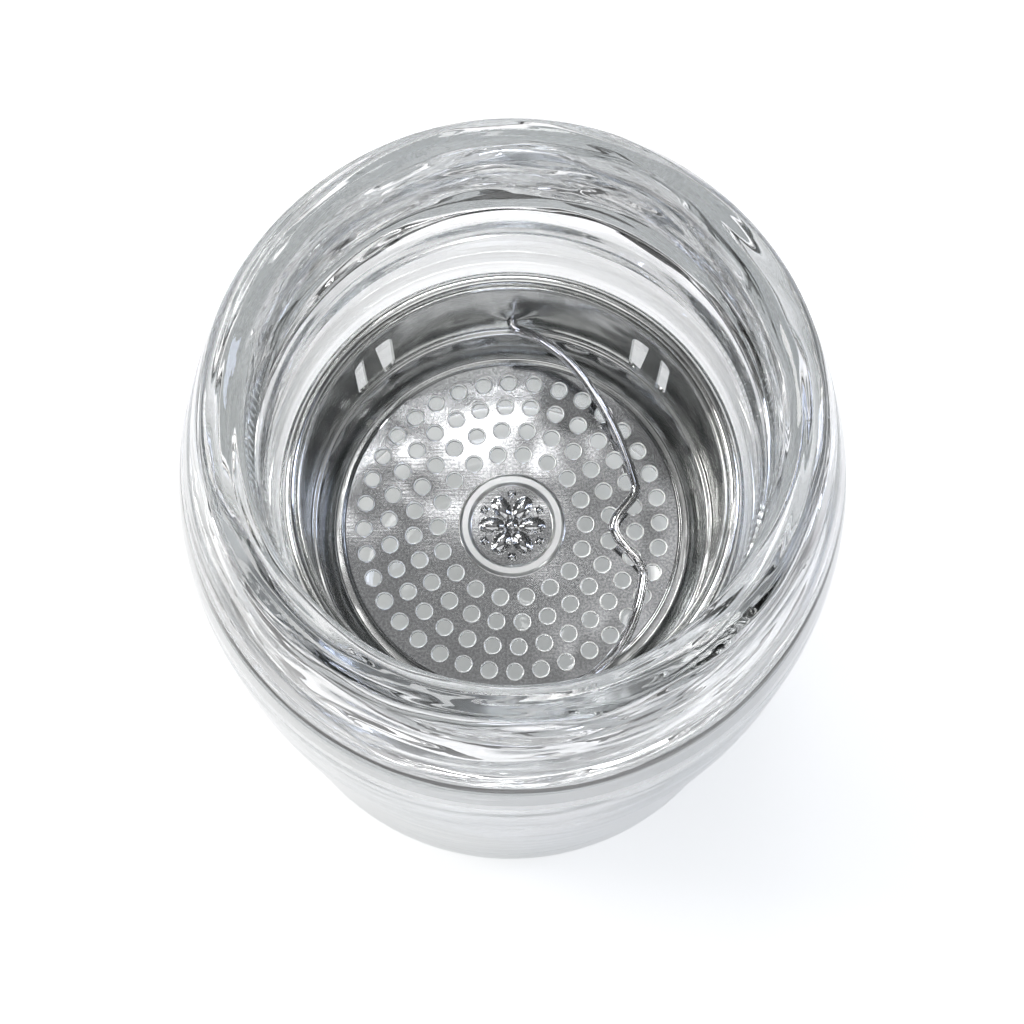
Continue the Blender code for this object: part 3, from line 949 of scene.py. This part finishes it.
def holeRims(sizes):
    # the punch leaves each hole with a slightly raised, rolled edge, which is what shines
    top = sizes["height"]
    low = top - sizes["sheet"]
    roll = sizes["holeRounding"]
    radius = sizes["holeRadius"]
    upperFoot, lowerFoot = rimFoot(sizes)
    shoulder = (radius + roll * sizes["shoulderSpread"], top + sizes["burr"] * sizes["shoulderRise"])
    outline = [(upperFoot, top), shoulder]
    crest = top + sizes["burr"] - roll
    outline += arcPoints(radius + roll, crest, roll, sizes["rimStart"], 180, sizes["rimSteps"])
    outline += [(radius, low + roll * sizes["underSpread"]), (lowerFoot, low)]
    first = turnOutline("holeRim", outline, sizes["holeSides"])
    rims = []
    for x, y in holeCentres(sizes):
        rim = first.copy()
        rim.data = first.data.copy()
        rim.data.transform(Matrix.Translation((mm(x), mm(y), 0)))
        bpy.context.scene.collection.objects.link(rim)
        rims.append(rim)
    bpy.data.objects.remove(first, do_unlink=True)
    return rims


def makePlate(sizes):
    sheet = sizes["sheet"]
    top = sizes["height"]
    radius = sizes["radius"]
    bend = sizes["edgeBend"]
    skirtFoot = top - sizes["skirt"]
    edge = arcPoints(radius - bend, top - bend, bend, 90, 0, sizes["edgeSteps"])
    edge += roundedOutline([
        (radius, skirtFoot, sizes["edgeRounding"]),
        (radius - sheet, skirtFoot, sizes["edgeRounding"]),
        (radius - sheet, top - sheet, sizes["innerRounding"]),
        (radius - bend, top - sheet, 0),
    ], sizes["edgeStep"], closed=False)
    plate = turnOutline("strainerPlate", edge, sizes["steps"])
    upperFoot, lowerFoot = rimFoot(sizes)
    upper = flatSheet(sizes, top, upperFoot)
    lower = flatSheet(sizes, top - sheet, lowerFoot)
    joinPieces(plate, [upper, lower, medallion(sizes), *holeRims(sizes)])
    cleanMesh(plate, weld["plate"])
    openEdges = sum(1 for count in edgeUses(plate) if count != 2)
    print("plate edges left open:", openEdges)
    return plate


def edgeUses(piece):
    shape = bmesh.new()
    shape.from_mesh(piece.data)
    uses = [len(edge.link_faces) for edge in shape.edges]
    shape.free()
    return uses


def medallion(sizes):
    # a fine round patch, raised by the relief and given the sheet's thickness
    rings = sizes["medallionRings"]
    centre = (0, 0, mm(sizes["height"]))
    deselectAll()
    bpy.ops.mesh.primitive_circle_add(
        vertices=sizes["medallionSides"], radius=mm(sizes["medallion"]), fill_type="NOTHING", location=centre,
    )
    patch = bpy.context.object
    bpy.ops.object.transform_apply()
    bpy.ops.object.mode_set(mode="EDIT")
    bpy.ops.mesh.select_all(action="SELECT")
    for ring in range(rings, 0, -1):
        share = (ring - 1) / ring if ring > 1 else sizes["medallionCentre"]
        bpy.ops.mesh.extrude_edges_move()
        bpy.ops.transform.resize(value=(share, share, 1), center_override=centre)
    bpy.ops.mesh.merge(type="CENTER")
    bpy.ops.mesh.select_all(action="SELECT")
    bpy.ops.mesh.remove_doubles(threshold=mm(weld["medallion"]))
    bpy.ops.object.mode_set(mode="OBJECT")
    under = patch.copy()
    under.data = patch.data.copy()
    bpy.context.scene.collection.objects.link(under)
    for piece, drop in ((patch, 0.0), (under, sizes["sheet"])):
        for vertex in piece.data.vertices:
            relief = medallionRelief(vertex.co.x * 1000, vertex.co.y * 1000, sizes)
            vertex.co.z = mm(sizes["height"] + relief - drop)
    return joinPieces(patch, [under])


strainerPlate = makePlate(plateSizes)
smoothPiece(strainerPlate, plateSizes["smooth"], keepFlats=True)
finishPiece(strainerPlate, plateSteel, "strainer", ["strainer_disc"])

# The wire bail

bailSizes = {
    "wireRadius": 0.6,
    "wireRounding": 6,
    "pivotHeight": 68.0,
    "reach": 17.4,
    "halfSpan": 22.4,
    "frontFullness": 0.16,
    "bend": 1.0,
    "bendSteps": 8,
    "bowEnd": 70,
    "bowSteps": 40,
    "dentSteps": 30,
    "dent": 4.0,
    "dentHalfWidth": 5.6,
    "dentPlace": -0.8,
    "fold": 24.373,
    "headStart": 24.4,
    "headLength": 0.6,
    "headRadius": 1.0,
    "headSides": 32,
    "headRounding": 0.15,
    "headRoundingSteps": 3,
    "smooth": 40,
}


def bailReachAt(y, sizes):
    # how far the wire stands from its pivot line: a bow, fuller in front, with a thumb dent
    share = y / sizes["halfSpan"]
    reach = sizes["reach"] * math.sqrt(max(0.0, 1 - share ** 2)) * (1 - sizes["frontFullness"] * share)
    away = (y - sizes["dentPlace"]) / sizes["dentHalfWidth"]
    if abs(away) < 1:
        reach -= sizes["dent"] * (0.5 + 0.5 * math.cos(math.pi * away))
    return reach


def bailPath(sizes):
    # along one half of the wire: out of its hole, round the bend and over the bow, then mirrored
    bend = sizes["bend"]
    span = sizes["halfSpan"]
    stub = [(0.0, sizes["headStart"])]
    for step in range(sizes["bendSteps"] + 1):
        a = math.radians(180 + 90 * step / sizes["bendSteps"])
        stub.append((bend + bend * math.cos(a), span + bend + bend * math.sin(a)))
    start = math.asin(bend / sizes["reach"])
    turn = math.radians(sizes["bowEnd"]) - start
    count = sizes["bowSteps"]
    bow = [span * math.cos(start + turn * step / count) for step in range(1, count + 1)]
    dented = [bow[-1] * (1 - step / sizes["dentSteps"]) for step in range(1, 2 * sizes["dentSteps"])]
    places = bow + dented + [-y for y in bow[::-1]]
    return stub + [(bailReachAt(y, sizes), y) for y in places] + [(s, -y) for s, y in stub[::-1]]


def makeHead(sizes, side):
    # the flattened end that keeps the wire in its hole
    deselectAll()
    middle = sizes["headStart"] + sizes["headLength"] / 2
    bpy.ops.mesh.primitive_cylinder_add(
        vertices=sizes["headSides"], radius=mm(sizes["headRadius"]), depth=mm(sizes["headLength"]),
        location=(0, mm(side * middle), mm(sizes["pivotHeight"])), rotation=(math.radians(90), 0, 0),
    )
    bpy.ops.object.transform_apply()
    bpy.ops.object.mode_set(mode="EDIT")
    bpy.ops.mesh.select_all(action="SELECT")
    bpy.ops.mesh.bevel(offset=mm(sizes["headRounding"]), segments=sizes["headRoundingSteps"])
    bpy.ops.object.mode_set(mode="OBJECT")
    return bpy.context.object


def makeBail(sizes):
    path = bailPath(sizes)
    fold = math.radians(sizes["fold"])
    deselectAll()
    bpy.ops.curve.primitive_bezier_curve_add(location=(0, 0, 0))
    bail = bpy.context.object
    bail.name = bail.data.name = "bailWire"
    bail.data.splines.clear()
    bail.data.bevel_depth = mm(sizes["wireRadius"])
    bail.data.bevel_resolution = sizes["wireRounding"]
    bail.data.use_fill_caps = True
    spline = bail.data.splines.new("POLY")
    spline.points.add(len(path) - 1)
    for point, (s, y) in zip(spline.points, path):
        point.co = (mm(s * math.cos(fold)), mm(y), mm(sizes["pivotHeight"] - s * math.sin(fold)), 1.0)
    bpy.ops.object.convert(target="MESH")
    heads = [makeHead(sizes, side) for side in (1, -1)]
    for head in heads:
        cutAway(bail, head, "UNION")
    return bail


bailWire = makeBail(bailSizes)
smoothPiece(bailWire, bailSizes["smooth"])
finishPiece(bailWire, wireSteel, "bail", ["bail_handle"])

# Studio: pale floor, soft boxes and a bright room, with its lengths in metres

studio = {
    "floorSize": 4.0,
    "floorColour": "#f2f2f2",
    # what the paper adds of its own white for the camera, near the object and far from it
    "floorGlow": 0.50,
    "farGlow": 1.0,
    "farStart": 0.35,
    "farEnd": 1.1,
    # what it adds where metal and glass show it: less under the object, which is a painted shadow, and more
    # beyond its shadow
    "mirroredNear": 0.32,
    "mirroredFar": 0.46,
    "shadowStart": 0.045,
    "shadowEnd": 0.120,
    # the room's brightness, by how steeply one looks up
    "backdrop": 1.0,
    "backdropTop": 0.06,
    "ceilingStart": 0.24,
    "ceiling": 0.07,
}


def makeFloor():
    deselectAll()
    bpy.ops.mesh.primitive_plane_add(size=studio["floorSize"], location=(0, 0, 0))
    floor = bpy.context.object
    floor.name = "studioFloor"
    # matt white paper from a roll
    paper = emptyMaterial("whitePaperSweep")
    matt = addNode(paper, "ShaderNodeBsdfDiffuse", {"Color": hexColour(studio["floorColour"])})
    path = addNode(paper, "ShaderNodeLightPath")
    mirrored = addNode(paper, "ShaderNodeMath", {"operation": "MAXIMUM"}, {
        0: path.outputs["Is Glossy Ray"], 1: path.outputs["Is Transmission Ray"],
    })
    # the background is white to the eye, and metal and glass show it with the shadow it keeps and with a
    # painted shadow, its glow turned down under the object
    place = addNode(paper, "ShaderNodeTexCoord").outputs["Object"]
    away = addNode(paper, "ShaderNodeVectorMath", {"operation": "LENGTH"}, {0: place})
    glowWithPaintedShadow = addNode(paper, "ShaderNodeMapRange", {
        "From Min": studio["shadowStart"], "From Max": studio["shadowEnd"],
        "To Min": studio["mirroredNear"], "To Max": studio["mirroredFar"],
    }, {"Value": away.outputs["Value"]})
    shared = addNode(paper, "ShaderNodeMath", {"operation": "MULTIPLY"}, {
        0: mirrored.outputs[0], 1: glowWithPaintedShadow.outputs[0],
    })
    # far from the lamps the paper gets little light, so its own white takes over there
    white = addNode(paper, "ShaderNodeMapRange", {
        "From Min": studio["farStart"], "From Max": studio["farEnd"],
        "To Min": studio["floorGlow"], "To Max": studio["farGlow"],
    }, {"Value": away.outputs["Value"]})
    strength = addNode(paper, "ShaderNodeMath", {"operation": "MULTIPLY_ADD"}, {
        0: path.outputs["Is Camera Ray"], 1: white.outputs[0], 2: shared.outputs[0],
    })
    glow = addNode(paper, "ShaderNodeEmission", {"Color": (1, 1, 1, 1)}, {"Strength": strength.outputs[0]})
    both = addNode(paper, "ShaderNodeAddShader", {}, {0: matt.outputs[0], 1: glow.outputs[0]})
    addNode(paper, "ShaderNodeOutputMaterial", {}, {"Surface": both.outputs[0]})
    floor.data.materials.append(paper)


def makeRoom():
    world = bpy.data.worlds.new("studioRoom")
    bpy.context.scene.world = world
    world.use_nodes = True
    world.node_tree.nodes.clear()
    place = addNode(world, "ShaderNodeTexCoord").outputs["Generated"]
    height = addNode(world, "ShaderNodeSeparateXYZ", {}, {0: place}).outputs["Z"]
    # the backdrop is white up to a little above the horizon, and the ceiling is darker
    ceiling = addNode(world, "ShaderNodeMapRange", {
        "From Min": studio["backdropTop"], "From Max": studio["ceilingStart"],
        "To Min": studio["backdrop"], "To Max": studio["ceiling"],
    }, {"Value": height})
    path = addNode(world, "ShaderNodeLightPath")
    strength = addNode(world, "ShaderNodeMix", {"data_type": "FLOAT", 3: 1.0}, {
        0: path.outputs["Is Camera Ray"], 2: ceiling.outputs[0],
    })
    background = addNode(world, "ShaderNodeBackground", {"Color": (1, 1, 1, 1)}, {
        "Strength": strength.outputs[0],
    })
    addNode(world, "ShaderNodeOutputWorld", {}, {"Surface": background.outputs[0]})


# name, place, width and height, brightness in a mirror where 1 is the picture's white, and colour
softBoxes = (
    ("keyBox", (-0.52, 0.10, 0.50), (0.20, 0.28), 10.0, "#fffdfa"),
    ("fillBox", (0.50, 0.12, 0.50), (0.13, 0.26), 9.0, "#dde7ff"),
    ("backBox", (-0.08, 0.55, 0.60), (0.30, 0.13), 10.0, "#ffffff"),
    ("frontBox", (0.06, -0.62, 0.42), (0.32, 0.10), 7.0, "#e8efff"),
    ("highBox", (-0.30, 0.36, 0.74), (0.17, 0.17), 14.0, "#ffffff"),
    ("stripBox", (-0.02, 0.225, 0.78), (0.05, 0.08), 6.0, "#ffffff"),
    ("rightStrip", (0.072, 0.150, 0.78), (0.030, 0.130), 0.9, "#ffffff"),
    ("overheadScrim", (0.0, 0.16, 0.95), (0.60, 0.44), 0.36, "#ffffff"),
    ("frontScrim", (0.0, -0.33, 0.92), (0.80, 0.40), 1.5, "#ffffff"),
)
lampTarget = (0, 0, 0.06)


def addSoftBox(name, place, size, brightness, colour):
    deselectAll()
    bpy.ops.object.light_add(type="AREA", location=place)
    lamp = bpy.context.object
    lamp.name = name
    lamp.data.shape = "RECTANGLE"
    lamp.data.size, lamp.data.size_y = size
    lamp.data.energy = brightness * math.pi * size[0] * size[1]
    lamp.data.color = hexColour(colour)[:3]
    lamp.rotation_euler = (Vector(lampTarget) - Vector(place)).to_track_quat("-Z", "Y").to_euler()


makeFloor()
makeRoom()
for box in softBoxes:
    addSoftBox(*box)
print("lamps placed")

# the photograph's camera: place in mm, then how far it is tipped from straight down and rolled
view = {
    "place": (-0.96, -64.1, 344.9),
    "tip": 13.0,
    "roll": -0.19,
    "lens": 84.375,
    "sensor": 36.0,
    "nearest": 0.01,
    "farthest": 50.0,
}
deselectAll()
bpy.ops.object.camera_add()
camera = bpy.context.object
camera.name = "photoCamera"
camera.location = [mm(value) for value in view["place"]]
camera.rotation_euler = (math.radians(view["tip"]), 0, 0)
camera.rotation_euler.rotate_axis("Y", math.radians(view["roll"]))
camera.data.lens = view["lens"]
camera.data.sensor_width = view["sensor"]
camera.data.clip_start = view["nearest"]
camera.data.clip_end = view["farthest"]
bpy.context.scene.camera = camera

scene = bpy.context.scene
scene.view_settings.view_transform = "Standard"
# light runs round inside the thick collar, and with fewer bounces it turns black
scene.cycles.max_bounces = 64
scene.cycles.transmission_bounces = 64
scene.cycles.glossy_bounces = 64
scene.cycles.diffuse_bounces = 4
scene.cycles.transparent_max_bounces = 32
scene.cycles.caustics_reflective = False
scene.cycles.caustics_refractive = False
print("studio set")
